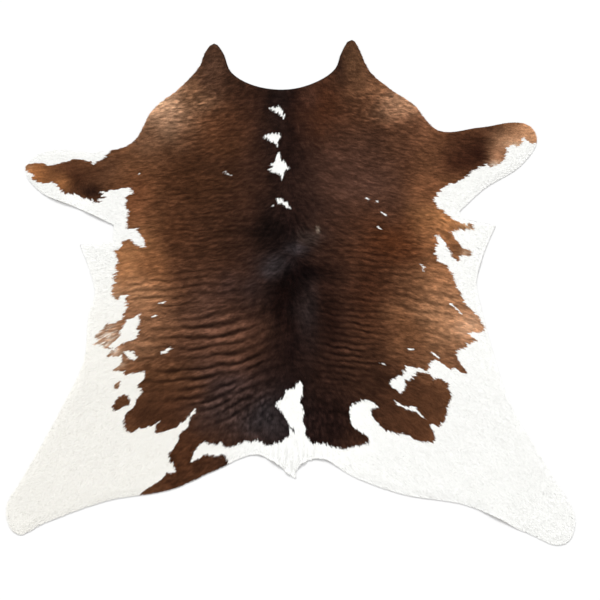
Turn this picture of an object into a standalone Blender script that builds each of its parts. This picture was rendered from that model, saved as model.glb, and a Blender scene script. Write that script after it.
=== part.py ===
"""Cowhide rug: one whole hide, hair side up, lying flat on the floor.

The frame is in metres. +Z is up, +Y runs along the spine from the tail to the neck, and
+X is to the right when looking from the tail. The origin is on the floor, under the middle
of the hide's bounding box.
"""

import math

import bmesh
import bpy
from mathutils import Vector

# Thickness, from the floor up
LEATHER_THICKNESS = 0.0025
PILE_THICKNESS = 0.0035
RIM_PILE = 0.0010
SHOULDER_DROP = 0.0008
RIM_HEIGHT = LEATHER_THICKNESS + RIM_PILE
CREST_HEIGHT = LEATHER_THICKNESS + PILE_THICKNESS

# The hair thins out from full depth to the rim in two steps, measured inwards from the edge
SHOULDER_INSET = 0.004
SHOULDER_HEIGHT = CREST_HEIGHT - SHOULDER_DROP
CREST_INSET = 0.010

# The outline is a smooth curve through its landmarks, split into steps of about this length
OUTLINE_STEP = 0.022
LEAST_STEPS = 2

# A corner is a landmark where the hide was cut with a sharp turn
SMOOTH = False
CORNER = True

# The two landmarks on the spine: x, y, corner
NECK = (0.000, 0.856, SMOOTH)
TAIL_TIP = (0.031, -0.845, CORNER)

# One side from neck to tail. Each row names a place on the edge and gives its distance out
# from the spine line and its y, on the left side and on the right side. The two halves of
# a real hide differ by a few centimetres.
# name, left out, left y, right out, right y, corner
SIDE = (
    ("neck cut", 0.135, 0.874, 0.115, 0.896, SMOOTH),
    ("inner ear root", 0.225, 0.936, 0.182, 0.955, SMOOTH),
    ("inner ear", 0.263, 1.038, 0.208, 1.035, SMOOTH),
    ("ear tip", 0.300, 1.080, 0.252, 1.098, SMOOTH),
    ("outer ear", 0.331, 1.046, 0.282, 1.050, SMOOTH),
    ("outer ear root", 0.356, 0.966, 0.321, 0.945, SMOOTH),
    ("neck side", 0.421, 0.873, 0.394, 0.864, SMOOTH),
    ("shoulder", 0.532, 0.757, 0.485, 0.787, SMOOTH),
    ("foreleg front root", 0.615, 0.594, 0.586, 0.659, SMOOTH),
    ("foreleg front", 0.756, 0.558, 0.750, 0.674, SMOOTH),
    ("foreleg front end", 0.945, 0.560, 0.930, 0.687, SMOOTH),
    ("foreleg tip", 1.017, 0.486, 0.968, 0.623, SMOOTH),
    ("foreleg back end", 0.960, 0.378, 0.903, 0.498, SMOOTH),
    ("foreleg back", 0.797, 0.293, 0.752, 0.386, SMOOTH),
    ("armpit", 0.663, 0.222, 0.652, 0.282, CORNER),
    ("belly cut", 0.665, 0.148, 0.658, 0.254, CORNER),
    ("belly point", 0.790, 0.136, 0.790, 0.222, CORNER),
    ("belly", 0.752, 0.035, 0.732, 0.075, SMOOTH),
    ("waist", 0.722, -0.085, 0.706, -0.040, SMOOTH),
    ("flank fold", 0.739, -0.168, 0.720, -0.150, SMOOTH),
    ("stifle", 0.750, -0.370, 0.757, -0.345, SMOOTH),
    ("thigh", 0.814, -0.545, 0.807, -0.540, SMOOTH),
    ("hind leg front", 0.941, -0.831, 0.945, -0.831, SMOOTH),
    ("hind leg front end", 0.996, -0.965, 1.016, -1.005, SMOOTH),
    ("hind leg tip", 0.950, -1.060, 0.972, -1.098, SMOOTH),
    ("hind leg back end", 0.860, -1.018, 0.850, -1.058, SMOOTH),
    ("hind leg back", 0.640, -0.930, 0.640, -0.950, SMOOTH),
    ("buttock", 0.411, -0.884, 0.400, -0.902, SMOOTH),
    ("rump", 0.256, -0.808, 0.230, -0.832, SMOOTH),
    ("tail root", 0.113, -0.749, 0.122, -0.766, SMOOTH),
    ("tail side", 0.042, -0.784, 0.036, -0.796, SMOOTH),
)

HAIR_BROWN = (0.135, 0.062, 0.034, 1.0)
HAIR_ROUGHNESS = 0.62


def clear_scene():
    for obj in list(bpy.data.objects):
        bpy.data.objects.remove(obj, do_unlink=True)


def hair_material():
    material = bpy.data.materials.new("brown_hair")
    material.use_nodes = True
    shader = material.node_tree.nodes["Principled BSDF"]
    shader.inputs["Base Color"].default_value = HAIR_BROWN
    shader.inputs["Roughness"].default_value = HAIR_ROUGHNESS
    shader.inputs["Metallic"].default_value = 0.0
    return material


def landmarks():
    """The edge's landmarks, round the hide from the neck: (point, corner)."""
    right = [(Vector((right_out, right_y)), corner) for _, _, _, right_out, right_y, corner in SIDE]
    left = [(Vector((-left_out, left_y)), corner) for _, left_out, left_y, _, _, corner in SIDE]
    neck = (Vector(NECK[:2]), NECK[2])
    tail = (Vector(TAIL_TIP[:2]), TAIL_TIP[2])
    return [neck] + right + [tail] + left[::-1]


def tangent(before, here, after):
    """The direction of travel through a landmark, weighted so that uneven spacing gives no loops."""
    back = math.sqrt((here - before).length)
    ahead = math.sqrt((after - here).length)
    slope = (here - before) * (ahead / back) + (after - here) * (back / ahead)
    return slope.normalized()


def bezier(a, b, c, d, t):
    s = 1.0 - t
    return a * s**3 + b * (3.0 * s * s * t) + c * (3.0 * s * t * t) + d * t**3


def outline():
    """The smooth closed edge as a list of points, split at about OUTLINE_STEP."""
    marks = landmarks()
    count = len(marks)
    edge = []
    for i in range(count):
        before, here = marks[i - 1][0], marks[i][0]
        after, beyond = marks[(i + 1) % count][0], marks[(i + 2) % count][0]
        chord = after - here
        straight = chord.normalized()
        leaving = straight if marks[i][1] else tangent(before, here, after)
        arriving = straight if marks[(i + 1) % count][1] else tangent(here, after, beyond)
        reach = chord.length / 3.0
        steps = max(LEAST_STEPS, round(chord.length / OUTLINE_STEP))
        for step in range(steps):
            edge.append(
                bezier(here, here + leaving * reach, after - arriving * reach, after, step / steps)
            )
    return edge


def centred(edge):
    """The same points, moved so that the middle of their box is at x = 0, y = 0."""
    xs = [point.x for point in edge]
    ys = [point.y for point in edge]
    middle = Vector(((min(xs) + max(xs)) / 2.0, (min(ys) + max(ys)) / 2.0))
    return [point - middle for point in edge]


def inset(edge, distance):
    """The outline moved inwards, each point along the bisector of its two edges."""
    moved = []
    for i, here in enumerate(edge):
        incoming = (here - edge[i - 1]).normalized()
        outgoing = (edge[(i + 1) % len(edge)] - here).normalized()
        normal = Vector((incoming.y + outgoing.y, -incoming.x - outgoing.x)).normalized()
        moved.append(here + normal * distance)
    return moved


def hide_mesh():
    """A closed slab: flat underside, low rim, and a rounded step up to the full pile."""
    edge = centred(outline())
    rings = (
        (edge, 0.0),
        (edge, RIM_HEIGHT),
        (inset(edge, SHOULDER_INSET), SHOULDER_HEIGHT),
        (inset(edge, CREST_INSET), CREST_HEIGHT),
    )
    builder = bmesh.new()
    loops = [[builder.verts.new((p.x, p.y, height)) for p in points] for points, height in rings]
    count = len(edge)
    for lower, upper in zip(loops, loops[1:]):
        for i in range(count):
            j = (i + 1) % count
            builder.faces.new((lower[i], upper[i], upper[j], lower[j]))
    builder.faces.new(loops[0])
    builder.faces.new(loops[-1][::-1])
    builder.normal_update()
    bmesh.ops.triangulate(builder, faces=builder.faces[:])
    mesh = bpy.data.meshes.new("hide")
    builder.to_mesh(mesh)
    builder.free()
    return mesh


def build_hide():
    mesh = hide_mesh()
    mesh.materials.append(hair_material())
    hide = bpy.data.objects.new("hide", mesh)
    bpy.context.scene.collection.objects.link(hide)
    return hide


clear_scene()
build_hide()
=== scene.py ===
import math

import bpy
import numpy as np
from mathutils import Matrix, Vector
from mathutils.geometry import delaunay_2d_cdt


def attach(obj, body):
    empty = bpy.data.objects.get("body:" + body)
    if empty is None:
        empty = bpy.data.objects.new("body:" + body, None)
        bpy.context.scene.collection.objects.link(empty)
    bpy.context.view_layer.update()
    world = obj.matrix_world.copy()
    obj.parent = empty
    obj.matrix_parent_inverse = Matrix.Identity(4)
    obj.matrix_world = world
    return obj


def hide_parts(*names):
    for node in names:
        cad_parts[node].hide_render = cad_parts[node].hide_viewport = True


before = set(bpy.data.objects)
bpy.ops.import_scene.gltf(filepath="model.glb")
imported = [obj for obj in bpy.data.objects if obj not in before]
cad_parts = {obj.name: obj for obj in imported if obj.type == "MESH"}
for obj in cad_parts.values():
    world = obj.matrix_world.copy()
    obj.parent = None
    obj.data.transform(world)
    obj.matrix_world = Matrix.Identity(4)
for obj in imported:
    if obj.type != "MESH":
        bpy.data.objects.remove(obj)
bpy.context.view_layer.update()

# ---------------------------------------------------------------------------------------
# Sizes, in metres. +Y runs along the spine from the tail to the neck.
# ---------------------------------------------------------------------------------------
SKIN_THICKNESS = 0.0024
SKIN_SWELL = 0.0004
SKIN_INSET = 0.0030
SKIN_STEP = 0.0095
BACK_STEP = 0.020
EDGE_GRID = 0.006
EDGE_MARGIN = 0.03
HAIR_SPACING = 0.00262
HAIR_MARGIN = 0.0025
HAIR_PIECES = ("hair_rump", "hair_loin", "hair_back", "hair_ribs", "hair_shoulders")
FLOOR_SIZE = 40.0
FLOOR_DROP = 0.0004
ON_FLOOR = 0.00001
# The skin's map: the side of the square seen from above, then the scale and the corner of the
# top, of the underside and of the edge in the map
PLAN_SIZE = 2.24
PLAN_PARTS = ((0.66, (0.005, 0.33)), (0.31, (0.005, 0.01)), (0.31, (0.34, 0.01)))
# Blender's triangulation: keep only what is inside the ring, and merge nearer points than this
CDT_INSIDE = 1
CDT_EPSILON = 1e-7
NOISE_CELLS = 128
NOISE_ORIGIN = 500.0
SEED = 20261120


# ---------------------------------------------------------------------------------------
# The pattern: where the hair is brown. Points are in metres, going round each patch.
# ---------------------------------------------------------------------------------------
BROWN_BODY = (
    # front edge of the left foreleg
    (-1.040, 0.500), (-1.010, 0.500), (-0.960, 0.505), (-0.925, 0.490), (-0.885, 0.505),
    (-0.850, 0.515), (-0.830, 0.525), (-0.800, 0.520), (-0.775, 0.510), (-0.750, 0.495),
    (-0.740, 0.510), (-0.710, 0.535), (-0.690, 0.565), (-0.655, 0.585), (-0.615, 0.610),
    # shoulders, ears and neck are brown out to the edge
    (-0.700, 0.800), (-0.450, 1.200), (0.450, 1.200), (0.700, 0.850), (1.100, 0.800),
    # back edge of the right foreleg
    (1.050, 0.600), (0.965, 0.600), (0.945, 0.593), (0.935, 0.603), (0.920, 0.630),
    (0.910, 0.600), (0.893, 0.575), (0.880, 0.590), (0.862, 0.588), (0.845, 0.555),
    (0.835, 0.520), (0.825, 0.503), (0.795, 0.488), (0.778, 0.480), (0.770, 0.503),
    (0.735, 0.480), (0.700, 0.460), (0.690, 0.445), (0.660, 0.425), (0.645, 0.410),
    (0.610, 0.400), (0.585, 0.380), (0.560, 0.335),
    # right armpit and its two fingers
    (0.570, 0.305), (0.595, 0.280), (0.630, 0.250), (0.655, 0.230), (0.700, 0.225),
    (0.705, 0.200), (0.675, 0.200), (0.650, 0.205), (0.620, 0.185), (0.640, 0.155),
    (0.655, 0.120), (0.695, 0.110), (0.690, 0.085), (0.655, 0.080), (0.640, 0.055),
    (0.620, 0.085), (0.605, 0.115), (0.590, 0.150), (0.575, 0.175),
    # right flank
    (0.560, 0.165), (0.565, 0.145), (0.560, 0.100), (0.562, 0.065), (0.600, 0.040),
    (0.615, 0.010), (0.630, -0.040), (0.645, -0.085), (0.655, -0.120), (0.685, -0.150),
    (0.715, -0.190), (0.732, -0.215), (0.728, -0.235), (0.715, -0.250), (0.680, -0.245),
    (0.665, -0.252), (0.675, -0.265), (0.697, -0.282), (0.670, -0.297), (0.650, -0.315),
    (0.625, -0.325), (0.625, -0.345), (0.635, -0.375), (0.655, -0.425), (0.635, -0.418),
    (0.625, -0.405), (0.585, -0.395), (0.560, -0.380), (0.545, -0.360), (0.518, -0.380),
    # right thigh lobe
    (0.515, -0.410), (0.530, -0.440), (0.555, -0.440), (0.585, -0.455), (0.590, -0.480),
    (0.600, -0.510), (0.587, -0.545), (0.580, -0.570), (0.565, -0.620), (0.545, -0.635),
    (0.515, -0.620), (0.530, -0.660), (0.530, -0.695), (0.505, -0.700), (0.460, -0.690),
    (0.425, -0.665), (0.395, -0.665), (0.370, -0.655), (0.345, -0.650), (0.325, -0.620),
    (0.310, -0.600), (0.305, -0.575), (0.330, -0.555), (0.290, -0.530), (0.250, -0.540),
    (0.225, -0.550), (0.225, -0.590), (0.240, -0.640), (0.295, -0.680), (0.290, -0.700),
    (0.270, -0.715),
    # rump, with the white cleft above the tail
    (0.225, -0.720), (0.185, -0.725), (0.135, -0.710), (0.090, -0.705), (0.070, -0.685),
    (0.065, -0.640), (0.055, -0.620), (0.060, -0.575), (0.045, -0.540), (0.055, -0.495),
    (0.055, -0.465), (0.040, -0.450), (0.030, -0.465), (0.020, -0.485), (-0.005, -0.490),
    (-0.015, -0.525), (-0.050, -0.550), (-0.030, -0.565), (-0.005, -0.605), (0.010, -0.640),
    (0.000, -0.685), (-0.045, -0.705), (-0.075, -0.710), (-0.115, -0.695), (-0.150, -0.695),
    (-0.180, -0.715), (-0.215, -0.720), (-0.245, -0.705), (-0.275, -0.710), (-0.300, -0.700),
    # left rump, down to the strip along the edge
    (-0.315, -0.710), (-0.330, -0.730), (-0.340, -0.750), (-0.350, -0.780), (-0.310, -0.760),
    (-0.300, -0.750), (-0.255, -0.755), (-0.240, -0.750), (-0.220, -0.750), (-0.220, -0.770),
    (-0.210, -0.790), (-0.200, -0.850), (-0.400, -0.970), (-0.525, -0.960), (-0.525, -0.900),
    (-0.470, -0.865), (-0.450, -0.845), (-0.435, -0.825), (-0.400, -0.820), (-0.395, -0.805),
    (-0.415, -0.790), (-0.420, -0.770), (-0.435, -0.755), (-0.415, -0.730), (-0.390, -0.695),
    (-0.390, -0.680), (-0.380, -0.655), (-0.360, -0.640), (-0.355, -0.605), (-0.330, -0.580),
    (-0.340, -0.560), (-0.345, -0.580), (-0.370, -0.605), (-0.405, -0.640), (-0.455, -0.660),
    (-0.475, -0.665), (-0.480, -0.645), (-0.460, -0.610),
    # left thigh
    (-0.490, -0.635), (-0.520, -0.645), (-0.535, -0.645), (-0.545, -0.655), (-0.575, -0.665),
    (-0.590, -0.655), (-0.595, -0.605), (-0.585, -0.585), (-0.560, -0.560), (-0.550, -0.525),
    (-0.535, -0.500), (-0.545, -0.470), (-0.530, -0.440), (-0.525, -0.425), (-0.530, -0.410),
    (-0.590, -0.425), (-0.610, -0.415), (-0.630, -0.410), (-0.640, -0.400),
    # left flank, with the finger of fading hair
    (-0.620, -0.385), (-0.610, -0.365), (-0.615, -0.345), (-0.640, -0.350), (-0.665, -0.350),
    (-0.655, -0.325), (-0.630, -0.318), (-0.620, -0.298), (-0.580, -0.285), (-0.560, -0.270),
    (-0.550, -0.245), (-0.560, -0.225), (-0.548, -0.205), (-0.555, -0.180), (-0.542, -0.160),
    (-0.570, -0.180), (-0.600, -0.197), (-0.622, -0.240), (-0.625, -0.268), (-0.655, -0.300),
    (-0.650, -0.325), (-0.690, -0.305), (-0.720, -0.295), (-0.695, -0.275), (-0.725, -0.265),
    (-0.690, -0.240), (-0.675, -0.215), (-0.640, -0.208), (-0.615, -0.190),
    (-0.600, -0.130), (-0.605, -0.090), (-0.625, -0.090),
    (-0.640, -0.110), (-0.650, -0.105), (-0.660, -0.080), (-0.655, -0.030), (-0.650, 0.030),
    (-0.645, 0.070), (-0.660, 0.105), (-0.630, 0.125), (-0.620, 0.150), (-0.600, 0.160),
    (-0.580, 0.135), (-0.555, 0.120), (-0.540, 0.125), (-0.545, 0.155), (-0.565, 0.180),
    (-0.570, 0.205), (-0.615, 0.205), (-0.620, 0.255), (-0.610, 0.280), (-0.630, 0.310),
    (-0.615, 0.325), (-0.625, 0.345), (-0.600, 0.370), (-0.610, 0.390),
    # back edge of the left foreleg
    (-0.665, 0.380), (-0.730, 0.370), (-0.705, 0.345), (-0.730, 0.340), (-0.725, 0.320),
    (-0.755, 0.335), (-0.785, 0.340), (-0.825, 0.365), (-0.845, 0.360), (-0.875, 0.370),
    (-0.900, 0.415), (-0.935, 0.410), (-0.970, 0.415), (-0.995, 0.435), (-0.990, 0.455),
    (-1.010, 0.470), (-1.040, 0.480),
)

WHITE_PATCHES = {
    "thigh gap": (
        (0.440, -0.386), (0.480, -0.396), (0.503, -0.404), (0.524, -0.427), (0.500, -0.416),
        (0.482, -0.412), (0.458, -0.440), (0.430, -0.455), (0.426, -0.480), (0.412, -0.502),
        (0.392, -0.487), (0.380, -0.472), (0.373, -0.448), (0.398, -0.438), (0.420, -0.428),
        (0.431, -0.408),
    ),
    "thigh line": (
        (0.388, -0.533), (0.408, -0.543), (0.425, -0.553), (0.440, -0.557), (0.456, -0.554),
        (0.470, -0.567), (0.482, -0.585), (0.502, -0.610), (0.476, -0.591), (0.460, -0.575),
        (0.445, -0.570), (0.432, -0.566), (0.420, -0.558), (0.404, -0.551),
    ),
    "left flank hole": (
        (-0.610, -0.330), (-0.585, -0.325), (-0.560, -0.335), (-0.550, -0.355),
        (-0.565, -0.370), (-0.585, -0.355), (-0.600, -0.345),
    ),
    "spine upper": (
        (-0.078, 0.762), (-0.056, 0.768), (-0.044, 0.766), (-0.036, 0.778), (-0.026, 0.752),
        (-0.014, 0.732), (-0.017, 0.706), (-0.030, 0.726), (-0.036, 0.740), (-0.048, 0.738),
        (-0.056, 0.748),
    ),
    "spine second": (
        (-0.098, 0.626), (-0.070, 0.642), (-0.052, 0.640), (-0.034, 0.642), (-0.028, 0.626),
        (-0.040, 0.616), (-0.044, 0.600), (-0.038, 0.576), (-0.054, 0.594), (-0.072, 0.608),
    ),
    "spine third": (
        (-0.040, 0.556), (-0.028, 0.518), (-0.014, 0.506), (0.002, 0.480), (-0.016, 0.456),
        (-0.023, 0.422), (-0.032, 0.448), (-0.048, 0.454), (-0.082, 0.472), (-0.060, 0.486),
        (-0.070, 0.500), (-0.052, 0.512), (-0.048, 0.536),
    ),
    "spine fourth": (
        (-0.048, 0.344), (-0.026, 0.340), (-0.008, 0.326), (0.012, 0.296), (-0.016, 0.306),
        (-0.036, 0.322),
    ),
}

BROWN_PATCHES = {
    "fleck by the cleft": (
        (0.006, -0.642), (0.016, -0.640), (0.024, -0.650), (0.028, -0.668), (0.018, -0.656),
    ),
    "left thigh spot": (
        (-0.600, -0.505), (-0.580, -0.515), (-0.575, -0.535), (-0.580, -0.550),
        (-0.605, -0.560), (-0.625, -0.580), (-0.640, -0.565), (-0.630, -0.535),
    ),
    "left thigh fleck": (
        (-0.610, -0.445), (-0.615, -0.470), (-0.630, -0.490), (-0.635, -0.470),
    ),
}

# Small white streaks in the brown: from x, y, to x, y, half width
WHITE_STREAKS = (
    (-0.472, -0.121, -0.455, -0.115, 0.0027),
    (-0.500, -0.182, -0.482, -0.174, 0.0029),
    (-0.462, -0.332, -0.430, -0.315, 0.0052),
    (-0.576, 0.452, -0.570, 0.450, 0.0025),
    (-0.248, 0.462, -0.232, 0.452, 0.0030),
    (-0.228, 0.450, -0.216, 0.448, 0.0025),
    (-0.062, 0.303, -0.056, 0.300, 0.0015),
    (0.300, 0.340, 0.305, 0.337, 0.003),
    (0.335, 0.330, 0.342, 0.330, 0.003),
    (0.353, 0.278, 0.374, 0.264, 0.004),
    (0.343, 0.213, 0.350, 0.205, 0.004),
    (0.505, 0.048, 0.512, 0.022, 0.003),
    (0.445, -0.315, 0.465, -0.322, 0.004),
    (0.535, -0.330, 0.555, -0.362, 0.003),
    (0.330, -0.374, 0.360, -0.385, 0.002),
    (0.607, -0.125, 0.653, -0.172, 0.0028),
)

# ---------------------------------------------------------------------------------------
# Hair direction: degrees outwards from straight back to the tail, at x, y on the right
# side. The left side mirrors it.
# ---------------------------------------------------------------------------------------
HAIR_GUIDES = (
    ("crest", 0.00, 1.00, 0), ("withers", 0.00, 0.60, 0), ("back", 0.00, 0.20, 0),
    ("loin line", 0.00, -0.20, 0), ("rump line", 0.00, -0.60, 0), ("tail", 0.02, -0.85, 0),
    ("neck", 0.14, 0.82, 30), ("neck side", 0.26, 0.76, 55), ("ear", 0.26, 1.05, 15),
    ("neck edge", 0.37, 0.88, 50), ("near shoulder", 0.12, 0.52, 45),
    ("shoulder blade", 0.25, 0.52, 65), ("shoulder", 0.42, 0.64, 70),
    ("shoulder edge", 0.52, 0.74, 60), ("below shoulder", 0.42, 0.40, 74),
    ("foreleg root", 0.60, 0.50, 76), ("foreleg", 0.78, 0.55, 84), ("paw", 0.97, 0.62, 88),
    ("near ribs upper", 0.12, 0.25, 48), ("near ribs", 0.12, -0.03, 48),
    ("near ribs lower", 0.12, -0.30, 40), ("ribs upper", 0.28, 0.20, 70),
    ("ribs", 0.28, -0.05, 70), ("ribs lower", 0.28, -0.30, 62), ("side upper", 0.46, 0.18, 76),
    ("side", 0.46, -0.06, 74), ("side lower", 0.46, -0.26, 66), ("belly", 0.64, 0.10, 74),
    ("belly lower", 0.66, -0.12, 68), ("loin", 0.14, -0.48, 26), ("hip", 0.40, -0.46, 54),
    ("flank", 0.60, -0.32, 56), ("stifle", 0.72, -0.42, 48), ("thigh", 0.52, -0.62, 42),
    ("hind leg", 0.78, -0.80, 40), ("hock", 0.95, -1.02, 40), ("rump", 0.20, -0.64, 18),
    ("buttock", 0.36, -0.80, 42),
)
GUIDE_REACH = 0.12
PARTING_REACH = 0.05

# Places where the hair turns on one side only: x, y, reach, degrees outwards
HAIR_TURNS = (
    ("left foreleg back", -0.80, 0.36, 0.07, -35),
    ("left elbow", -0.64, 0.20, 0.06, 100),
    ("right armpit", 0.64, 0.22, 0.07, 38),
    ("right belly fingers", 0.67, 0.13, 0.05, 45),
)
WHORL = (0.030, 0.075)
WHORL_REACH = 0.09
WHORL_CORE = 0.01
WHORL_STRENGTH = 1.6

# Hair length over the body: x, y on the right side, length
HAIR_LENGTHS = (
    ("back", 0.00, 0.30, 0.013), ("neck", 0.15, 0.85, 0.011), ("ear", 0.26, 1.05, 0.009),
    ("shoulder", 0.42, 0.65, 0.013), ("foreleg", 0.85, 0.58, 0.010),
    ("ribs", 0.40, 0.00, 0.014), ("belly", 0.64, 0.05, 0.018), ("rump", 0.15, -0.50, 0.017),
    ("thigh", 0.55, -0.60, 0.014), ("hind leg", 0.85, -0.90, 0.012), ("tail", 0.02, -0.80, 0.020),
)
LENGTH_REACH = 0.20
SHORTEST_HAIR = 0.004
# How far a hair may hang out past the edge: the least, and what chance adds
OVERHANG = (0.001, 0.002)
# The tufts at the tail root, which may hang out further: x, y, reach across, reach along
TAIL_TUFTS = (0.03, -0.79, 0.10, 0.07)
TUFT_OVERHANG = 0.007
# A blade's length as a share of the usual one, and half its width, from least to most
BLADE_LENGTHS = (0.8, 1.2)
BLADE_HALF_WIDTHS = (0.0009, 0.0013)
BLADE_ROLL = 0.00035
# Where along a blade its two side points are, and where it reads the pattern
BLADE_MIDDLE = 0.45
BLADE_READS = 0.62
# How high a blade's middle and tip stand above the leather: the least, and what chance adds
MIDDLE_LIFT = (0.0009, 0.0013)
TIP_LIFT = (0.0012, 0.0016)
# How far inside the edge the coat starts to thin
RIM = 0.010
# Places of a blade's four points in its own cell of the map
BLADE_SPOTS = np.array([[0.5, 0.12], [0.88, 0.5], [0.12, 0.5], [0.5, 0.88]])

# ---------------------------------------------------------------------------------------
# Colours, as seen on a screen from 0 to 1
# ---------------------------------------------------------------------------------------
WHITE_HAIR = (0.985, 0.985, 0.975)
CREAM_HAIR = (0.975, 0.968, 0.945)
SUEDE = (0.760, 0.690, 0.590)
FLOOR = (0.920, 0.920, 0.920)
LIGHT_GAIN = 1.15
STUDIO_LIGHT = 0.88
# Shade of a blade at its root, its two sides and its tip
BROWN_SHADE = np.array([0.60, 1.0, 1.0, 1.15])
WHITE_SHADE = np.array([0.96, 1.0, 1.0, 1.0])
# Shade of the leather between the hairs, and of its cut edge above and below. The cut edge is
# darkened partly for the raw cut's own colour and partly as painted shadow, for the dark line
# along the edge.
UNDER_BROWN = 0.60
UNDER_WHITE = 0.97
EDGE_TOP_RAW_AND_SHADOW = 0.50
EDGE_LOW_RAW_AND_SHADOW = 0.35
# Brown hair that has faded further than this is shaded as white hair
MOST_FADED = 0.6

# The brown coat from the spine outwards: distance, colour
SPINE_X = 0.015
COAT_RAMP = (
    (0.00, (0.12, 0.07, 0.06)),
    (0.08, (0.17, 0.11, 0.09)),
    (0.16, (0.25, 0.16, 0.12)),
    (0.32, (0.30, 0.19, 0.13)),
    (0.45, (0.38, 0.24, 0.16)),
    (0.60, (0.50, 0.33, 0.22)),
)
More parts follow.
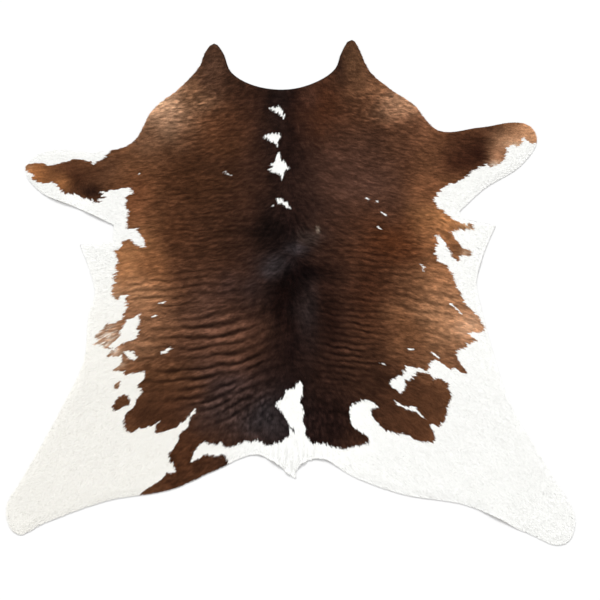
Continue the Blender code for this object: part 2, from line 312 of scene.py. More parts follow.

# Local tints of the brown: x, y, reach across, reach along, colour, strength. Their borders
# wander by a share of their reach, up to a widest one. The tints named highlight are painted
# highlights, and those named sheen are painted sheen.
TINT_SPREAD = 1.15
TINT_WANDER = 0.35
TINT_WANDER_MOST = 0.085
TINTS = (
    ("left shoulder", -0.35, 0.69, 0.12, 0.09, (0.44, 0.265, 0.16), 0.75),
    # Painted highlight: light caught on the hair of the left shoulder
    ("left shoulder painted highlight", -0.50, 0.77, 0.11, 0.11, (0.86, 0.68, 0.54), 0.95),
    ("left shoulder top", -0.38, 0.84, 0.05, 0.08, (0.57, 0.40, 0.28), 0.65),
    ("left shoulder low", -0.27, 0.58, 0.08, 0.05, (0.38, 0.24, 0.155), 0.80),
    ("left shoulder edge", -0.55, 0.62, 0.06, 0.08, (0.46, 0.32, 0.23), 0.70),
    ("left ear", -0.30, 0.99, 0.06, 0.12, (0.36, 0.25, 0.19), 0.90),
    ("left ear inner", -0.230, 1.02, 0.020, 0.08, (0.14, 0.09, 0.08), 0.85),
    ("neck", -0.10, 0.82, 0.10, 0.06, (0.18, 0.10, 0.07), 0.50),
    ("neck right", 0.14, 0.75, 0.08, 0.14, (0.34, 0.195, 0.12), 0.85),
    ("neck centre", 0.075, 0.83, 0.035, 0.07, (0.31, 0.195, 0.145), 0.80),
    ("crest", -0.04, 0.80, 0.045, 0.10, (0.13, 0.09, 0.08), 0.80),
    ("left back", -0.40, 0.42, 0.16, 0.14, (0.28, 0.17, 0.10), 0.60),
    ("left armpit", -0.58, 0.34, 0.06, 0.09, (0.50, 0.31, 0.20), 0.80),
    ("left flank gold", -0.60, 0.05, 0.09, 0.13, (0.72, 0.50, 0.33), 0.92),
    ("left side", -0.51, 0.03, 0.05, 0.08, (0.64, 0.42, 0.27), 0.80),
    ("left ribs dark", -0.36, 0.12, 0.13, 0.10, (0.29, 0.18, 0.12), 0.70),
    ("left ribs upper", -0.46, 0.20, 0.07, 0.06, (0.29, 0.17, 0.10), 0.60),
    ("left loin", -0.52, -0.20, 0.12, 0.10, (0.60, 0.42, 0.30), 0.85),
    ("left flank pale", -0.57, -0.09, 0.07, 0.07, (0.69, 0.50, 0.36), 0.85),
    ("left flank low", -0.55, -0.32, 0.06, 0.04, (0.62, 0.45, 0.33), 0.80),
    # Painted highlight over the folds of the left loin
    ("left fold painted highlight", -0.26, -0.27, 0.12, 0.10, (0.42, 0.28, 0.21), 0.75),
    # Painted sheen on the hair of the left loin
    ("left loin sheen", -0.30, -0.17, 0.10, 0.13, (0.36, 0.25, 0.205), 0.65),
    ("left loin low sheen", -0.30, -0.40, 0.11, 0.06, (0.31, 0.215, 0.185), 0.65),
    ("left flank finger", -0.67, -0.27, 0.07, 0.08, (0.68, 0.50, 0.38), 0.90),
    ("left hip", -0.46, -0.42, 0.14, 0.09, (0.34, 0.22, 0.14), 0.70),
    ("left thigh", -0.50, -0.58, 0.14, 0.08, (0.28, 0.17, 0.11), 0.90),
    ("left rump brown", -0.24, -0.56, 0.08, 0.12, (0.24, 0.19, 0.18), 0.70),
    # Painted sheen: the blue-grey light on the dark hair of the left rump
    ("left rump painted sheen", -0.08, -0.61, 0.09, 0.09, (0.20, 0.175, 0.178), 0.95),
    ("left edge strip", -0.42, -0.78, 0.14, 0.09, (0.30, 0.18, 0.11), 0.90),
    ("right ear", 0.26, 0.99, 0.06, 0.12, (0.42, 0.29, 0.20), 0.90),
    ("right ear inner", 0.192, 1.00, 0.020, 0.08, (0.16, 0.10, 0.08), 0.85),
    ("right shoulder", 0.30, 0.74, 0.10, 0.10, (0.37, 0.23, 0.15), 0.60),
    # Painted highlight: light caught on the hair of the right shoulder
    ("right shoulder painted highlight", 0.470, 0.785, 0.085, 0.065, (0.77, 0.58, 0.445), 0.95),
    ("right shoulder crest", 0.34, 0.86, 0.06, 0.05, (0.60, 0.415, 0.295), 0.85),
    ("right shoulder low", 0.28, 0.60, 0.12, 0.07, (0.31, 0.20, 0.14), 0.70),
    ("right shoulder edge", 0.515, 0.68, 0.08, 0.07, (0.52, 0.345, 0.245), 0.85),
    ("right back", 0.28, 0.42, 0.16, 0.16, (0.375, 0.255, 0.205), 0.80),
    ("right armpit", 0.58, 0.26, 0.08, 0.09, (0.74, 0.51, 0.33), 0.95),
    ("right side", 0.55, 0.12, 0.05, 0.06, (0.66, 0.44, 0.29), 0.80),
    ("right elbow", 0.55, 0.39, 0.06, 0.07, (0.54, 0.35, 0.235), 0.85),
    ("right ribs", 0.40, 0.14, 0.12, 0.10, (0.36, 0.20, 0.11), 0.85),
    ("right ribs low", 0.360, -0.12, 0.085, 0.15, (0.27, 0.145, 0.09), 0.88),
    ("right flank upper", 0.57, -0.01, 0.08, 0.08, (0.66, 0.455, 0.31), 0.85),
    ("right flank tan", 0.585, -0.210, 0.130, 0.135, (0.70, 0.51, 0.37), 0.95),
    ("right flank tip", 0.69, -0.215, 0.05, 0.05, (0.90, 0.70, 0.55), 0.90),
    ("right flank inner", 0.455, -0.23, 0.07, 0.11, (0.48, 0.31, 0.20), 0.75),
    ("right hip", 0.34, -0.45, 0.12, 0.08, (0.21, 0.13, 0.09), 0.80),
    ("right rump", 0.15, -0.60, 0.12, 0.16, (0.12, 0.07, 0.06), 0.95),
    ("right thigh", 0.50, -0.56, 0.12, 0.10, (0.34, 0.215, 0.14), 0.90),
    ("right tooth", 0.62, -0.38, 0.04, 0.05, (0.56, 0.38, 0.27), 0.80),
    ("right foreleg", 0.66, 0.56, 0.07, 0.08, (0.33, 0.20, 0.135), 0.85),
    ("right foreleg low", 0.67, 0.49, 0.07, 0.05, (0.29, 0.165, 0.11), 0.85),
    ("right foreleg dark", 0.745, 0.555, 0.08, 0.09, (0.20, 0.10, 0.068), 0.95),
    ("right foreleg top", 0.79, 0.66, 0.06, 0.04, (0.31, 0.195, 0.135), 0.85),
    ("right paw", 0.95, 0.645, 0.075, 0.055, (1.00, 0.75, 0.56), 0.95),
    ("right paw light", 0.875, 0.605, 0.05, 0.030, (0.88, 0.665, 0.505), 0.95),
    ("right wrist light", 0.815, 0.530, 0.026, 0.042, (0.80, 0.585, 0.44), 0.95),
    ("left foreleg", -0.70, 0.47, 0.06, 0.08, (0.39, 0.26, 0.18), 0.90),
    ("left foreleg dark", -0.83, 0.435, 0.075, 0.08, (0.25, 0.14, 0.095), 0.95),
    ("left foreleg top", -0.87, 0.49, 0.05, 0.025, (0.44, 0.28, 0.19), 0.70),
    ("left foreleg back", -0.75, 0.37, 0.05, 0.04, (0.13, 0.07, 0.06), 0.90),
    ("left shin", -0.875, 0.405, 0.035, 0.035, (0.72, 0.48, 0.30), 0.90),
    ("left paw", -0.98, 0.46, 0.055, 0.07, (0.70, 0.46, 0.28), 0.98),
    # Painted sheen: grey light on the dark hair round the whorl, in the tints named sheen
    ("whorl sheen left", -0.05, 0.04, 0.05, 0.045, (0.30, 0.27, 0.275), 0.80),
    ("left of the whorl", -0.08, 0.175, 0.105, 0.075, (0.085, 0.055, 0.048), 0.90),
    ("whorl curl", 0.112, 0.200, 0.005, 0.011, (0.66, 0.59, 0.52), 0.90),
    ("whorl sheen middle", 0.03, 0.115, 0.035, 0.025, (0.25, 0.22, 0.225), 0.80),
    ("whorl sheen right", 0.08, 0.17, 0.04, 0.03, (0.27, 0.22, 0.20), 0.75),
    ("below the whorl", 0.06, 0.00, 0.08, 0.05, (0.04, 0.01, 0.01), 0.98),
    ("below the whorl left", -0.01, -0.06, 0.05, 0.07, (0.05, 0.02, 0.015), 0.95),
    ("back line", -0.02, -0.14, 0.05, 0.12, (0.09, 0.04, 0.03), 0.80),
    # The tints named sheen below are painted sheen on the dark hair of the back, ribs and rump
    ("loin sheen", 0.08, -0.16, 0.04, 0.10, (0.18, 0.145, 0.14), 0.80),
    ("right of the spine", 0.16, -0.18, 0.045, 0.17, (0.145, 0.078, 0.055), 0.85),
    ("loin sheen left", -0.14, -0.05, 0.05, 0.08, (0.18, 0.14, 0.135), 0.65),
    ("left ribs sheen", -0.22, -0.05, 0.035, 0.05, (0.30, 0.21, 0.18), 0.75),
    ("left rump sheen", -0.20, -0.47, 0.07, 0.045, (0.28, 0.21, 0.195), 0.75),
)

# Where the brown fades to white hair by hair: x, y, reach across, reach along, share
FADING = (
    ("left flank finger", -0.680, -0.255, 0.050, 0.050, 0.62),
    ("left flank second finger", -0.690, -0.300, 0.050, 0.030, 0.75),
    ("left flank band", -0.650, -0.335, 0.040, 0.025, 0.50),
    ("left flank lower", -0.625, -0.385, 0.030, 0.035, 0.40),
    ("left flank fleck", -0.620, -0.465, 0.025, 0.030, 0.50),
    ("left flank edge", -0.650, -0.080, 0.020, 0.080, 0.20),
    ("right armpit", 0.685, 0.215, 0.035, 0.025, 0.35),
    ("right belly finger", 0.675, 0.100, 0.030, 0.025, 0.30),
    ("right wrist", 0.800, 0.495, 0.035, 0.018, 0.50),
    ("right paw", 0.890, 0.585, 0.045, 0.020, 0.35),
    ("left foreleg tip", -1.030, 0.490, 0.030, 0.030, 0.40),
)

# Folds of the dried hide: x, y, reach across, reach along, depth, spacing, slant, curl. They
# raise the leather, and are also painted on the coat as shade, darker in the valleys and
# lighter on the crests.
FOLDS = (
    ("left loin", -0.27, -0.34, 0.20, 0.18, 1.60, 0.043, 0.05, 0.10),
    ("left rump", -0.24, -0.53, 0.13, 0.08, 1.50, 0.036, 0.20, 0.22),
    ("left ribs", -0.40, -0.08, 0.20, 0.12, 0.65, 0.034, 0.06, 0.04),
    ("left back", -0.32, 0.26, 0.24, 0.22, 0.30, 0.024, 0.10, 0.00),
    ("left shoulder", -0.38, 0.66, 0.16, 0.14, 0.25, 0.026, 0.12, 0.00),
    ("right loin", 0.22, -0.29, 0.14, 0.18, 1.05, 0.027, 0.10, 0.03),
    ("right flank", 0.53, -0.11, 0.14, 0.15, 0.55, 0.044, 0.22, 0.00),
    ("right ribs", 0.34, 0.08, 0.20, 0.14, 0.45, 0.030, 0.08, 0.00),
    ("right shoulder", 0.34, 0.62, 0.18, 0.18, 0.22, 0.028, 0.12, 0.00),
)
# Their wander: distance and size of its waves
FOLD_WANDER = ((0.011, 0.085), (0.005, 0.035))
FOLD_CURL_REACH = 0.15
FOLD_SHARPNESS = 2.2
FOLD_CREST = 0.38
FOLD_HEIGHT = 0.00224
# How strongly the folds are painted on the coat as shade: darker valleys, lighter crests
FOLD_PAINTED_SHADE = 1.25
# How strongly the short waves of the coat show. Where they are calmer or livelier, and where
# the hair curls: x, y, reach across, reach along, on both sides but for the left flank.
TICK_SHADE = 0.42
CALM_THIGH = (0.50, -0.60, 0.17, 0.15)
CALM_FORELEG = (0.88, 0.48, 0.22, 0.22)
CALM_LEFT_FLANK = (-0.62, 0.08, 0.08, 0.14)
LIVELY_SHOULDER = (0.37, 0.77, 0.12, 0.10)
CURLY_RUMP = (0.13, -0.60, 0.14, 0.13)
# Where single strands show: along the back, where their light and dark streaks are painted
# sheen, at the right armpit and at the tail
SHEEN_STREAKS_BACK = (SPINE_X, 0.05, 0.12, 0.30)
STRANDED_ARMPIT = (0.60, 0.21, 0.09, 0.11)
STRANDED_TAIL = (0.02, -0.80, 0.13, 0.10)

# Places where the edge lifts off the floor a little: x, y, reach, height
EDGE_LIFTS = (
    ("tail corner", -0.090, -0.735, 0.020, 0.006),
    ("tail left", -0.045, -0.785, 0.030, 0.008),
    ("tail left low", 0.000, -0.820, 0.014, 0.006),
    ("tail right", 0.050, -0.785, 0.020, 0.005),
    ("right of the tail", 0.140, -0.775, 0.050, 0.004),
    ("left foreleg back", -0.880, 0.300, 0.070, 0.007),
    ("left armpit", -0.740, 0.250, 0.070, 0.006),
    ("right hind leg", 0.735, -1.010, 0.060, 0.007),
    ("right belly", 0.690, 0.060, 0.050, 0.004),
)
LIFT_REACH = 0.045


def linear(colour):
    """A screen colour as the linear colour that the shaders take."""
    c = np.asarray(colour, float)
    return np.where(c <= 0.04045, c / 12.92, ((c + 0.055) / 1.055) ** 2.4)


def between(grid, i, j, k, m, fu, fv):
    """The value between columns i and k and rows j and m of a grid."""
    low = grid[i, j] * (1.0 - fu) + grid[k, j] * fu
    high = grid[i, m] * (1.0 - fu) + grid[k, m] * fu
    return low * (1.0 - fv) + high * fv


def noise(x, y, size, seed):
    """Smooth noise from -1 to 1 with features of about this size."""
    table = np.random.default_rng(SEED + seed).random((NOISE_CELLS, NOISE_CELLS))
    u, v = x / size + NOISE_ORIGIN, y / size + NOISE_ORIGIN
    i, j = np.floor(u).astype(int), np.floor(v).astype(int)
    fu, fv = u - i, v - j
    fu, fv = fu * fu * (3.0 - 2.0 * fu), fv * fv * (3.0 - 2.0 * fv)
    i, j = i % NOISE_CELLS, j % NOISE_CELLS
    k, m = (i + 1) % NOISE_CELLS, (j + 1) % NOISE_CELLS
    return 2.0 * between(table, i, j, k, m, fu, fv) - 1.0


def smooth(value, start, end):
    """0 up to the start and 1 from the end on, with a smooth rise between them."""
    t = np.clip((value - start) / (end - start), 0.0, 1.0)
    return t * t * (3.0 - 2.0 * t)


def bump(x, y, cx, cy, rx, ry):
    """1 at the centre, falling smoothly to nothing."""
    return np.exp(-(((x - cx) / rx) ** 2) - ((y - cy) / ry) ** 2)


# ---------------------------------------------------------------------------------------
# The edge, read from the CAD node so that both halves agree
# ---------------------------------------------------------------------------------------
def cad_edge():
    """The hide's outline on the floor, going round once: the sides that only one face has."""
    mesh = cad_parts["hide"].data
    sides = set()
    for face in mesh.polygons:
        points = [mesh.vertices[i].co for i in face.vertices]
        if max(p.z for p in points) > ON_FLOOR:
            continue
        keys = [(round(p.x, 6), round(p.y, 6)) for p in points]
        for a, b in zip(keys, keys[1:] + keys[:1]):
            if (b, a) in sides:
                sides.remove((b, a))
            else:
                sides.add((a, b))
    after = dict(sides)
    start = min(after)
    edge = [start]
    while after[edge[-1]] != start:
        edge.append(after[edge[-1]])
    return np.array(edge)


def inside(x, y, corners):
    """Whether each point lies in the patch."""
    result = np.zeros(x.shape, bool)
    corners = np.asarray(corners)
    for (ax, ay), (bx, by) in zip(corners, np.roll(corners, -1, axis=0)):
        if ay == by:
            continue
        crosses = (ay > y) != (by > y)
        result ^= crosses & (x < (bx - ax) * (y - ay) / (by - ay) + ax)
    return result


def to_segment(x, y, ax, ay, bx, by):
    """Distance from each point to a line segment."""
    dx, dy = bx - ax, by - ay
    t = np.clip(((x - ax) * dx + (y - ay) * dy) / (dx * dx + dy * dy), 0.0, 1.0)
    return np.hypot(x - ax - t * dx, y - ay - t * dy)


def in_streak(x, y, ax, ay, bx, by, half):
    """Whether each point lies in a streak that tapers to both ends."""
    long = math.hypot(bx - ax, by - ay) / 2.0 + half
    ux, uy = (bx - ax) / (2.0 * (long - half)), (by - ay) / (2.0 * (long - half))
    px, py = x - (ax + bx) / 2.0, y - (ay + by) / 2.0
    return ((px * ux + py * uy) / long) ** 2 + ((px * uy - py * ux) / half) ** 2 < 1.0


class Depth:
    """How far inside the outline a point is, in metres, looked up from a fine grid. It is below
    0 outside."""

    def __init__(self, outline):
        self.low = outline.min(axis=0) - EDGE_MARGIN
        high = outline.max(axis=0) + EDGE_MARGIN
        self.shape = np.ceil((high - self.low) / EDGE_GRID).astype(int) + 1
        gx = self.low[0] + np.arange(self.shape[0]) * EDGE_GRID
        gy = self.low[1] + np.arange(self.shape[1]) * EDGE_GRID
        x, y = np.meshgrid(gx, gy, indexing="ij")
        nearest = np.full(x.shape, np.inf)
        for a, b in zip(outline, np.roll(outline, -1, axis=0)):
            nearest = np.minimum(nearest, to_segment(x, y, *a, *b))
        self.grid = np.where(inside(x, y, outline), nearest, -nearest)

    def __call__(self, x, y):
        u = np.clip((x - self.low[0]) / EDGE_GRID, 0.0, self.shape[0] - 1.001)
        v = np.clip((y - self.low[1]) / EDGE_GRID, 0.0, self.shape[1] - 1.001)
        i, j = u.astype(int), v.astype(int)
        return between(self.grid, i, j, i + 1, j + 1, u - i, v - j)


outline = cad_edge()
depth = Depth(outline)


# ---------------------------------------------------------------------------------------
# Fields over the hide
# ---------------------------------------------------------------------------------------
def guide_weight(side, y, gx, gy, reach):
    """How much a guide on the body counts at each point."""
    return np.exp(-((side - gx) ** 2 + (y - gy) ** 2) / reach**2) + 1e-9


def flow(x, y):
    """The direction that the hair lies in, as x and y parts."""
    side = np.abs(x)
    total = np.zeros(x.shape)
    out = np.zeros(x.shape)
    back = np.zeros(x.shape)
    for _, gx, gy, degrees in HAIR_GUIDES:
        weight = guide_weight(side, y, gx, gy, GUIDE_REACH)
        total += weight
        out += weight * math.sin(math.radians(degrees))
        back += weight * math.cos(math.radians(degrees))
    out = out / total * np.sign(x) * smooth(side, 0.0, PARTING_REACH)
    back = back / total
    for _, gx, gy, reach, degrees in HAIR_TURNS:
        weight = bump(x, y, gx, gy, reach, reach)
        out += weight * (math.copysign(math.sin(math.radians(degrees)), gx * degrees) - out)
        back += weight * (math.cos(math.radians(degrees)) - back)
    rx, ry = x - WHORL[0], y - WHORL[1]
    turning = np.exp(-(rx**2 + ry**2) / WHORL_REACH**2)
    weight = WHORL_STRENGTH * turning / (np.hypot(rx, ry) + WHORL_CORE)
    out += weight * rx
    back -= weight * ry
    size = np.hypot(out, back) + 1e-6
    return out / size, -back / size


def hair_length(x, y):
    """The usual length of a hair at each point."""
    side = np.abs(x)
    total = np.zeros(x.shape)
    length = np.zeros(x.shape)
    for _, gx, gy, value in HAIR_LENGTHS:
        weight = guide_weight(side, y, gx, gy, LENGTH_REACH)
        total += weight
        length += weight * value
    return length / total


def folds(x, y):
    """Folds of the dried hide: above 0 on their crests and below 0 in their valleys."""
    total = np.zeros(x.shape)
    share = np.zeros(x.shape)
    side = np.abs(x)
    wave = 0.0
    for seed, (distance, size) in enumerate(FOLD_WANDER, 1):
        wave = wave + distance * noise(x, y, size, seed)
    curl = np.exp(-side / FOLD_CURL_REACH)
    for number, (_, cx, cy, rx, ry, deep, spacing, slant, bend) in enumerate(FOLDS):
        along = y + slant * side - bend * curl + wave
        valley = (0.5 + 0.5 * np.cos(2.0 * math.pi * along / spacing)) ** FOLD_SHARPNESS
        broken = 0.30 + 0.70 * smooth(noise(0.30 * x, y, 0.032, 3 + number), -0.6, 0.3)
        weight = bump(x, y, cx, cy, rx, ry)
        total += weight * deep * broken * (FOLD_CREST - (1.0 + FOLD_CREST) * valley)
        share += weight
    return total / np.maximum(share, 1.0)


def lift(x, y):
    """How far the hide stands off the floor near its edge."""
    near = np.clip(1.0 - depth(x, y) / LIFT_REACH, 0.0, 1.0) ** 2
    total = np.zeros(x.shape)
    for _, cx, cy, reach, height in EDGE_LIFTS:
        total = np.maximum(total, height * bump(x, y, cx, cy, reach, reach))
    return near * total


def skin_top(x, y):
    """Height of the leather's hair side above its underside: thin at the edge, rippled inside."""
    edge = smooth(depth(x, y), 0.004, 0.03)
    return SKIN_THICKNESS + edge * (FOLD_HEIGHT * (folds(x, y) + 1.0) + SKIN_SWELL)


def ragged(x, y, seed):
    """The small shift that gives the pattern its ragged border."""
    return 0.0040 * noise(x, y, 0.018, seed) + 0.0028 * noise(x, y, 0.007, seed + 1)


def is_brown(x, y):
    """The pattern, with the slightly ragged border that hair gives."""
    wx = x + ragged(x, y, 11)
    wy = y + ragged(x, y, 13)
    brown = inside(wx, wy, BROWN_BODY)
    for corners in WHITE_PATCHES.values():
        brown &= ~inside(wx, wy, corners)
    for corners in BROWN_PATCHES.values():
        brown |= inside(wx, wy, corners)
    for ax, ay, bx, by, half in WHITE_STREAKS:
        brown &= ~in_streak(wx, wy, ax, ay, bx, by, half)
    return brown


def streaks(x, y, size, seed):
    """Noise drawn out along the hair, from about -1 to 1."""
    dx, dy = flow(x, y)
    total = np.zeros(x.shape)
    for step in (-2, -1, 0, 1, 2):
        total += noise(x + step * size * dx, y + step * size * dy, size, seed)
    return total / 2.6


def brown_colour(x, y):
    """Linear colour of the brown hair before its fine variation."""
    wander = 0.025 * noise(x, y, 0.10, 21) + 0.012 * noise(x, y, 0.04, 22)
    away = np.abs(x - SPINE_X) + wander
    steps = [distance for distance, _ in COAT_RAMP]
    ramp = np.array([linear(colour) for _, colour in COAT_RAMP])
    colour = np.stack([np.interp(away, steps, ramp[:, part]) for part in range(3)], axis=1)
    shift_x = TINT_WANDER * noise(x, y, 0.08, 23)
    shift_y = TINT_WANDER * noise(x, y, 0.08, 24)
    for _, cx, cy, rx, ry, tint, strength in TINTS:
        reach = min(rx, ry, TINT_WANDER_MOST)
        wx, wy = x + reach * shift_x, y + reach * shift_y
        weight = strength * bump(wx, wy, cx, cy, rx * TINT_SPREAD, ry * TINT_SPREAD)
        colour = colour + weight[:, None] * (linear(tint) - colour)
    return colour / LIGHT_GAIN


def white_colour(x, y):
    """Linear colour of the white hair: creamier on the left, a little greyer behind, and with
    darker strands at the tail."""
    cream = smooth(-x, 0.1, 0.4) * smooth(-y, -0.2, 0.4)
    white = linear(WHITE_HAIR)
    white = white + cream[:, None] * (linear(CREAM_HAIR) - white)
    grey_behind = 1.0 - 0.03 * smooth(-y, 0.3, 0.6) + 0.012 * smooth(y, 0.2, 0.4)
    strands = bump(x, y, *STRANDED_TAIL) * smooth(noise(x, 0.12 * y, 0.006, 43), 0.2, 0.7)
    return white * grey_behind[:, None] * (1.0 - 0.14 * strands)[:, None]


def texture_and_fold_shade(x, y):
    """How light or dark the brown is in its fine waves and folds, about 1. The folds are painted
    shade: darker in their valleys and lighter on their crests.
    """
    level = y + 0.10 * np.abs(x) + 0.006 * noise(x, y, 0.03, 37)
    waves = noise(0.38 * x, level, 0.0070, 35) + 0.6 * noise(0.45 * x, level, 0.0042, 39)
    side = np.abs(x)
    calm = bump(side, y, *CALM_THIGH) + bump(side, y, *CALM_FORELEG)
    calm = np.minimum(calm + 0.6 * bump(x, y, *CALM_LEFT_FLANK), 1.0)
    lively = bump(side, y, *LIVELY_SHOULDER)
    curls = 0.80 * bump(side, y, *CURLY_RUMP) * noise(x, 0.7 * y, 0.009, 42)
    ticks = TICK_SHADE * (1.0 - 0.75 * calm + 0.9 * lively) * waves
    # The folds are painted shade: the coat is darker in their valleys and lighter on their crests
    return np.exp(ticks + FOLD_PAINTED_SHADE * folds(x, y) + curls)


def tone_of(x, y):
    """How light or dark the brown is in its streaks and clumps, about 1."""
    tone = 0.17 * streaks(x, y, 0.0055, 31) + 0.14 * streaks(x, y, 0.014, 32)
    # Painted sheen in streaks along the dark hair of the back
    tone += 0.65 * bump(x, y, *SHEEN_STREAKS_BACK) * streaks(x, y, 0.008, 38)
    tone += 0.45 * bump(x, y, *STRANDED_ARMPIT) * streaks(x, y, 0.0075, 44)
    return np.exp(tone + 0.10 * noise(x, y, 0.05, 33))


def fading(x, y):
    """How far the brown hair has faded to white, in strands along the hair."""
    strands = 0.5 + 0.8 * streaks(x, y, 0.0045, 36)
    faded = np.zeros(x.shape)
    for _, cx, cy, rx, ry, part in FADING:
        faded = np.maximum(faded, part * bump(x, y, cx, cy, rx, ry))
    return np.clip(faded * (0.4 + 1.2 * strands), 0.0, 1.0)


def hair_colour(x, y, share):
    """Linear colour of the hair at each point, and whether it is shaded as brown hair. share is
    a random number for each hair."""
    brown = is_brown(x, y)
    tone = tone_of(x, y) * (0.88 + 0.24 * share)
    dark = brown_colour(x, y) * np.clip(tone, 0.25, 2.2)[:, None]
    pale = 1.0 + 0.006 * streaks(x, y, 0.010, 34) - 0.006 * share
    light = white_colour(x, y) * pale[:, None]
    faded = np.where(brown, fading(x, y), 1.0)
    return dark * (light / dark) ** faded[:, None], faded < MOST_FADED


# ---------------------------------------------------------------------------------------
# Meshes
# ---------------------------------------------------------------------------------------
def triangle_mesh(name, points, faces, uv, colours, material):
    """An object from arrays: uv is one row a corner, colours one row a point."""
    mesh = bpy.data.meshes.new(name)
    mesh.vertices.add(len(points))
    mesh.vertices.foreach_set("co", np.ascontiguousarray(points, np.float32).ravel())
    mesh.loops.add(len(faces) * 3)
    mesh.loops.foreach_set("vertex_index", np.ascontiguousarray(faces, np.int32).ravel())
    mesh.polygons.add(len(faces))
    mesh.polygons.foreach_set("loop_start", np.arange(0, len(faces) * 3, 3, dtype=np.int32))
    mesh.polygons.foreach_set("use_smooth", np.ones(len(faces), bool))
    layer = mesh.uv_layers.new(name="OFBake")
    layer.data.foreach_set("uv", np.ascontiguousarray(uv, np.float32).ravel())
    attribute = mesh.color_attributes.new(name="coat", type="FLOAT_COLOR", domain="POINT")
    full = np.ones((len(points), 4), np.float32)
    full[:, :3] = colours
    attribute.data.foreach_set("color", full.ravel())
    mesh.update(calc_edges=True)
    mesh.validate()
    mesh.materials.append(material)
    obj = bpy.data.objects.new(name, mesh)
    bpy.context.scene.collection.objects.link(obj)
    return obj


def coat_material(name, roughness, specular, grain_scale, grain):
    """Colour from the coat attribute, with a fine procedural grain over it."""
    material = bpy.data.materials.new(name)
    material.use_nodes = True
    nodes, links = material.node_tree.nodes, material.node_tree.links
    shader = nodes["Principled BSDF"]
    coat = nodes.new("ShaderNodeAttribute")
    coat.attribute_name = "coat"
    where = nodes.new("ShaderNodeTexCoord")
    speckle = nodes.new("ShaderNodeTexNoise")
    speckle.inputs["Scale"].default_value = grain_scale
    speckle.inputs["Detail"].default_value = 3.0
    spread = nodes.new("ShaderNodeMapRange")
    spread.inputs["To Min"].default_value = 1.0 - grain
    spread.inputs["To Max"].default_value = 1.0 + grain
    times = nodes.new("ShaderNodeVectorMath")
    times.operation = "SCALE"
    links.new(where.outputs["Object"], speckle.inputs["Vector"])
    links.new(speckle.outputs["Fac"], spread.inputs["Value"])
    links.new(coat.outputs["Color"], times.inputs[0])
    links.new(spread.outputs["Result"], times.inputs["Scale"])
    links.new(times.outputs["Vector"], shader.inputs["Base Color"])
    shader.inputs["Roughness"].default_value = roughness
    shader.inputs["Specular IOR Level"].default_value = specular
    return material


def inset_outline(distance):
    """The outline moved inwards, point by point, along its own normals."""
    before, after = np.roll(outline, 1, axis=0), np.roll(outline, -1, axis=0)
    along = after - before
    along /= np.linalg.norm(along, axis=1)[:, None]
    inward = np.stack([-along[:, 1], along[:, 0]], axis=1)
    probe = outline + inward * SKIN_INSET
    sign = np.sign(depth(probe[:, 0], probe[:, 1]).sum())
    return outline + inward * sign * distance


def facing(points, faces, up):
    """The flat faces, each turned so that its front looks up or down."""
    a, b, c = points[faces[:, 0]], points[faces[:, 1]], points[faces[:, 2]]
    looks_up = np.cross(b - a, c - a) > 0
    return np.where((looks_up == up)[:, None], faces, faces[:, ::-1])


def filled(ring, step):
    """The ring's inside as points and triangles, the ring's points first."""
    low, high = ring.min(axis=0), ring.max(axis=0)
    rng = np.random.default_rng(SEED + 40)
    gx, gy = np.meshgrid(np.arange(low[0], high[0], step), np.arange(low[1], high[1], step))
    gx = gx.ravel() + rng.uniform(-0.2, 0.2, gx.size) * step
    gy = gy.ravel() + rng.uniform(-0.2, 0.2, gy.size) * step
    keep = depth(gx, gy) > SKIN_INSET + 0.45 * step
    points = [Vector(p) for p in ring] + [Vector(p) for p in zip(gx[keep], gy[keep])]
    count = len(ring)
    edges = [(i, (i + 1) % count) for i in range(count)]
    found, _, faces, *_ = delaunay_2d_cdt(points, edges, [], CDT_INSIDE, CDT_EPSILON)
    return np.array([tuple(p) for p in found]), np.array([tuple(f) for f in faces])


def wall(ring, first):
    """The edge's triangles, between the top's ring and the underside's, which starts at first."""
    here = np.arange(len(ring))
    after = (here + 1) % len(ring)
    area = np.sum(ring[here, 0] * ring[after, 1] - ring[after, 0] * ring[here, 1])
    if area < 0:
        here, after = after, here
    return np.concatenate([
        np.stack([first + here, first + after, after], axis=1),
        np.stack([first + here, after, here], axis=1),
    ])


def make_skin(material):
    """The leather: a thin closed sheet, rippled above and flat below."""
    ring = inset_outline(SKIN_INSET)
    top, top_faces = filled(ring, SKIN_STEP)
    under, under_faces = filled(ring, BACK_STEP)
    top_faces = facing(top, top_faces, True)
    under_faces = facing(under, under_faces, False)
    count = len(ring)
    first = len(top)
    points = np.zeros((len(top) + len(under), 3))
    points[:first, :2] = top
    points[:first, 2] = skin_top(top[:, 0], top[:, 1]) + lift(top[:, 0], top[:, 1])
    points[first:, :2] = under
    points[first:, 2] = lift(under[:, 0], under[:, 1])
    faces = np.concatenate([top_faces, under_faces + first, wall(ring, first)])
    colours = np.empty((len(points), 3))
    coat, brown = hair_colour(top[:, 0], top[:, 1], np.full(first, 0.5))
    colours[:first] = coat * np.where(brown, UNDER_BROWN, UNDER_WHITE)[:, None]
    # The cut edge's top and foot: the raw cut's own darker colour, with painted shadow over it
    colours[:count] *= EDGE_TOP_RAW_AND_SHADOW
    mottling = 1.0 + 0.06 * noise(under[:, 0], under[:, 1], 0.12, 41)
    colours[first:] = linear(SUEDE) * mottling[:, None]
    colours[first:first + count] *= EDGE_LOW_RAW_AND_SHADOW
    uv = plan_uv(points, faces, len(top_faces), len(under_faces))
    return triangle_mesh("hide_skin", points, faces, uv, colours, material)


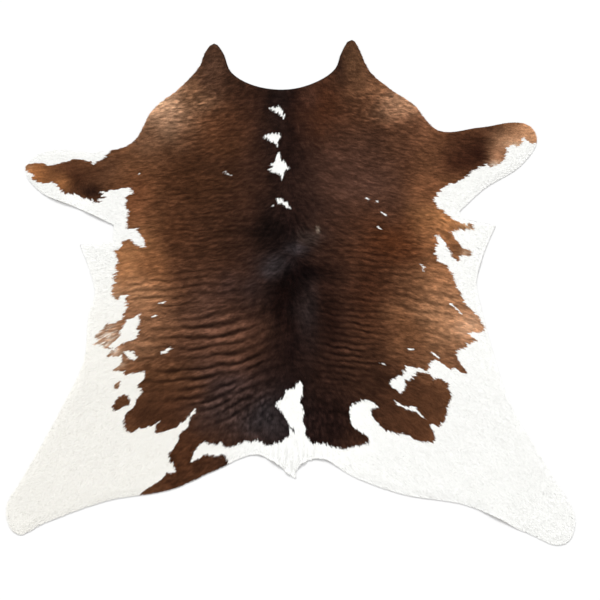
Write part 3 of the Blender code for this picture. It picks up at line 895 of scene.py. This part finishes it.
def plan_uv(points, faces, tops, unders):
    """Top, underside and edge each in their own part of the map, seen from above."""
    plan = (points[:, :2] + PLAN_SIZE / 2.0) / PLAN_SIZE
    uv = plan[faces.reshape(-1)]
    ends = (0, tops * 3, (tops + unders) * 3, len(uv))
    for (scale, corner), start, end in zip(PLAN_PARTS, ends, ends[1:]):
        uv[start:end] = uv[start:end] * scale + corner
    return uv


def blade_map(x, y):
    """One small cell of the map for each blade, neighbours on the hide kept together."""
    count = len(x)
    per_side = int(math.ceil(math.sqrt(count)))
    order = np.argsort(y, kind="stable")
    column = np.empty(count, int)
    row = np.empty(count, int)
    for start in range(0, count, per_side):
        chosen = order[start:start + per_side]
        ranked = chosen[np.argsort(x[chosen], kind="stable")]
        row[ranked] = start // per_side
        column[ranked] = np.arange(len(ranked))
    cell = np.stack([column, row], axis=1)[:, None, :] + BLADE_SPOTS
    return cell / per_side


def blade_direction(x, y, rng):
    """The way each blade lies: along the coat's flow, turned a little by tufts and by chance."""
    dx, dy = flow(x, y)
    turn = 0.18 * noise(x, y, 0.011, 51) + 0.14 * noise(x, y, 0.035, 52)
    turn = turn + rng.normal(0.0, 0.10, x.shape)
    cos, sin = np.cos(turn), np.sin(turn)
    return dx * cos - dy * sin, dx * sin + dy * cos


def blade_length(x, y, dx, dy, rng):
    """The length of each blade, cut back where it would hang out too far past the edge."""
    length = hair_length(x, y) * rng.uniform(*BLADE_LENGTHS, x.shape)
    tufts = bump(x, y, *TAIL_TUFTS) * smooth(noise(x, y, 0.012, 55), 0.0, 0.6)
    beyond = OVERHANG[0] + OVERHANG[1] * rng.random(x.shape) + TUFT_OVERHANG * tufts
    over = -depth(x + dx * length, y + dy * length) - beyond
    return np.maximum(length - np.maximum(over, 0.0) * 1.15, SHORTEST_HAIR)


def blade_points(x, y, dx, dy, length, rng):
    """Each blade's root, two side points and tip, lying over the leather."""
    half = rng.uniform(*BLADE_HALF_WIDTHS, x.shape)
    rim = smooth(depth(x, y), 0.0, RIM)
    middle_lift = (MIDDLE_LIFT[0] + MIDDLE_LIFT[1] * rng.random(x.shape)) * (0.35 + 0.65 * rim)
    tip_lift = (TIP_LIFT[0] + TIP_LIFT[1] * rng.random(x.shape)) * (0.2 + 0.8 * rim)
    roll = rng.normal(0.0, BLADE_ROLL, x.shape)
    mx, my = x + BLADE_MIDDLE * length * dx, y + BLADE_MIDDLE * length * dy
    tx, ty = x + length * dx, y + length * dy
    tip_rim = smooth(depth(tx, ty), -0.004, RIM)
    root = skin_top(x, y) * (0.6 + 0.4 * rim) + lift(x, y)
    middle = skin_top(mx, my) + middle_lift + lift(mx, my)
    tip = skin_top(tx, ty) * (0.35 + 0.65 * tip_rim) + tip_lift + lift(tx, ty)
    points = np.empty((len(x), 4, 3))
    points[:, 0] = np.stack([x, y, root], axis=1)
    points[:, 1] = np.stack([mx - dy * half, my + dx * half, middle + roll], axis=1)
    points[:, 2] = np.stack([mx + dy * half, my - dx * half, middle - roll], axis=1)
    points[:, 3] = np.stack([tx, ty, tip], axis=1)
    return points


def blade_colours(x, y, dx, dy, length, rng):
    """Linear colours of each blade's four points."""
    # Each blade reads the pattern a little further along or back, so the border is hairy.
    reach = BLADE_READS * length + 0.0085 * streaks(x, y, 0.0042, 53)
    reach += 0.002 * noise(x, y, 0.003, 54)
    colour, brown = hair_colour(x + reach * dx, y + reach * dy, rng.random(x.shape))
    shade = np.where(brown[:, None], BROWN_SHADE, WHITE_SHADE)
    # The coat's waves, with the folds painted on as shade and light
    middle = texture_and_fold_shade(x + BLADE_MIDDLE * length * dx, y + BLADE_MIDDLE * length * dy)
    tip = texture_and_fold_shade(x + length * dx, y + length * dy)
    waves = np.where(brown[:, None], np.stack([middle, middle, middle, tip], axis=1), 1.0)
    shade = shade * waves
    return np.clip(colour[:, None, :] * shade[:, :, None], 0.0, 0.98)


def make_hair(name, x, y, seed, material):
    """One piece of hair: a blade of two triangles on each root."""
    rng = np.random.default_rng(SEED + seed)
    dx, dy = blade_direction(x, y, rng)
    length = blade_length(x, y, dx, dy, rng)
    points = blade_points(x, y, dx, dy, length, rng).reshape(-1, 3)
    colours = blade_colours(x, y, dx, dy, length, rng).reshape(-1, 3)
    first = np.arange(len(x))[:, None] * 4
    faces = np.stack([first + (0, 2, 1), first + (1, 2, 3)], axis=1).reshape(-1, 3)
    cells = blade_map(x, y).reshape(-1, 2)[faces.reshape(-1)]
    return triangle_mesh(name, points, faces, cells, colours, material)


def hair_roots():
    """A jittered grid of roots over the whole hide."""
    rng = np.random.default_rng(SEED + 60)
    low, high = outline.min(axis=0), outline.max(axis=0)
    x, y = np.meshgrid(
        np.arange(low[0], high[0], HAIR_SPACING), np.arange(low[1], high[1], HAIR_SPACING)
    )
    x = x.ravel() + rng.uniform(-0.5, 0.5, x.size) * HAIR_SPACING
    y = y.ravel() + rng.uniform(-0.5, 0.5, y.size) * HAIR_SPACING
    keep = depth(x, y) > HAIR_MARGIN
    return x[keep], y[keep]


# ---------------------------------------------------------------------------------------
# Build
# ---------------------------------------------------------------------------------------
leather = coat_material("leather", roughness=0.92, specular=0.10, grain_scale=90.0, grain=0.06)
hair = coat_material("hair", roughness=0.60, specular=0.012, grain_scale=700.0, grain=0.05)

skin = make_skin(leather)
root_x, root_y = hair_roots()
bands = np.array_split(np.argsort(root_y, kind="stable"), len(HAIR_PIECES))
coat = []
for number, (name, band) in enumerate(zip(HAIR_PIECES, bands)):
    coat.append(make_hair(name, root_x[band], root_y[band], 70 + number, hair))
print("blades", len(root_x), "skin faces", len(skin.data.polygons))

for piece, slot in [(skin, "leather")] + [(piece, "hair") for piece in coat]:
    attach(piece, "root")
    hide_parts("hide")

# ---------------------------------------------------------------------------------------
# Floor, light and camera
# ---------------------------------------------------------------------------------------
bpy.ops.mesh.primitive_plane_add(size=FLOOR_SIZE, location=(0.0, 0.0, -FLOOR_DROP))
floor = bpy.context.object
floor.name = "floor"
paint = bpy.data.materials.new("floor_white")
paint.use_nodes = True
matt = paint.node_tree.nodes["Principled BSDF"].inputs
matt["Base Color"].default_value = (*linear(FLOOR), 1.0)
matt["Roughness"].default_value = 0.9
matt["Specular IOR Level"].default_value = 0.0
floor.data.materials.append(paint)

world = bpy.data.worlds.new("studio")
bpy.context.scene.world = world
world.use_nodes = True
background = world.node_tree.nodes["Background"].inputs
background["Color"].default_value = (1.0, 1.0, 1.0, 1.0)
background["Strength"].default_value = STUDIO_LIGHT


def sun(name, strength, spread, elevation, azimuth):
    """A soft sun: azimuth 0 comes from behind the neck, and 90 from the right."""
    light = bpy.data.lights.new(name, "SUN")
    light.energy = strength
    light.angle = math.radians(spread)
    lamp = bpy.data.objects.new(name, light)
    e, a = math.radians(elevation), math.radians(azimuth)
    towards = Vector((math.cos(e) * math.sin(a), math.cos(e) * math.cos(a), math.sin(e)))
    lamp.rotation_mode = "QUATERNION"
    lamp.rotation_quaternion = towards.to_track_quat("Z", "Y")
    bpy.context.scene.collection.objects.link(lamp)


sun("key", strength=1.75, spread=14.0, elevation=42.0, azimuth=-20.0)

CAMERA_AIM = Vector((0.045, -0.105, 0.0))
CAMERA_DISTANCE = 8.28
CAMERA_ELEVATION = math.radians(60.0)
CAMERA_LENS = 132.96
camera_data = bpy.data.cameras.new("camera")
camera_data.sensor_width = 36.0
camera_data.lens = CAMERA_LENS
camera = bpy.data.objects.new("camera", camera_data)
away = Vector((0.0, -math.cos(CAMERA_ELEVATION), math.sin(CAMERA_ELEVATION)))
camera.location = CAMERA_AIM + away * CAMERA_DISTANCE
camera.rotation_mode = "QUATERNION"
camera.rotation_quaternion = away.to_track_quat("Z", "Y")
bpy.context.scene.collection.objects.link(camera)
bpy.context.scene.camera = camera
bpy.context.scene.view_settings.view_transform = "Standard"
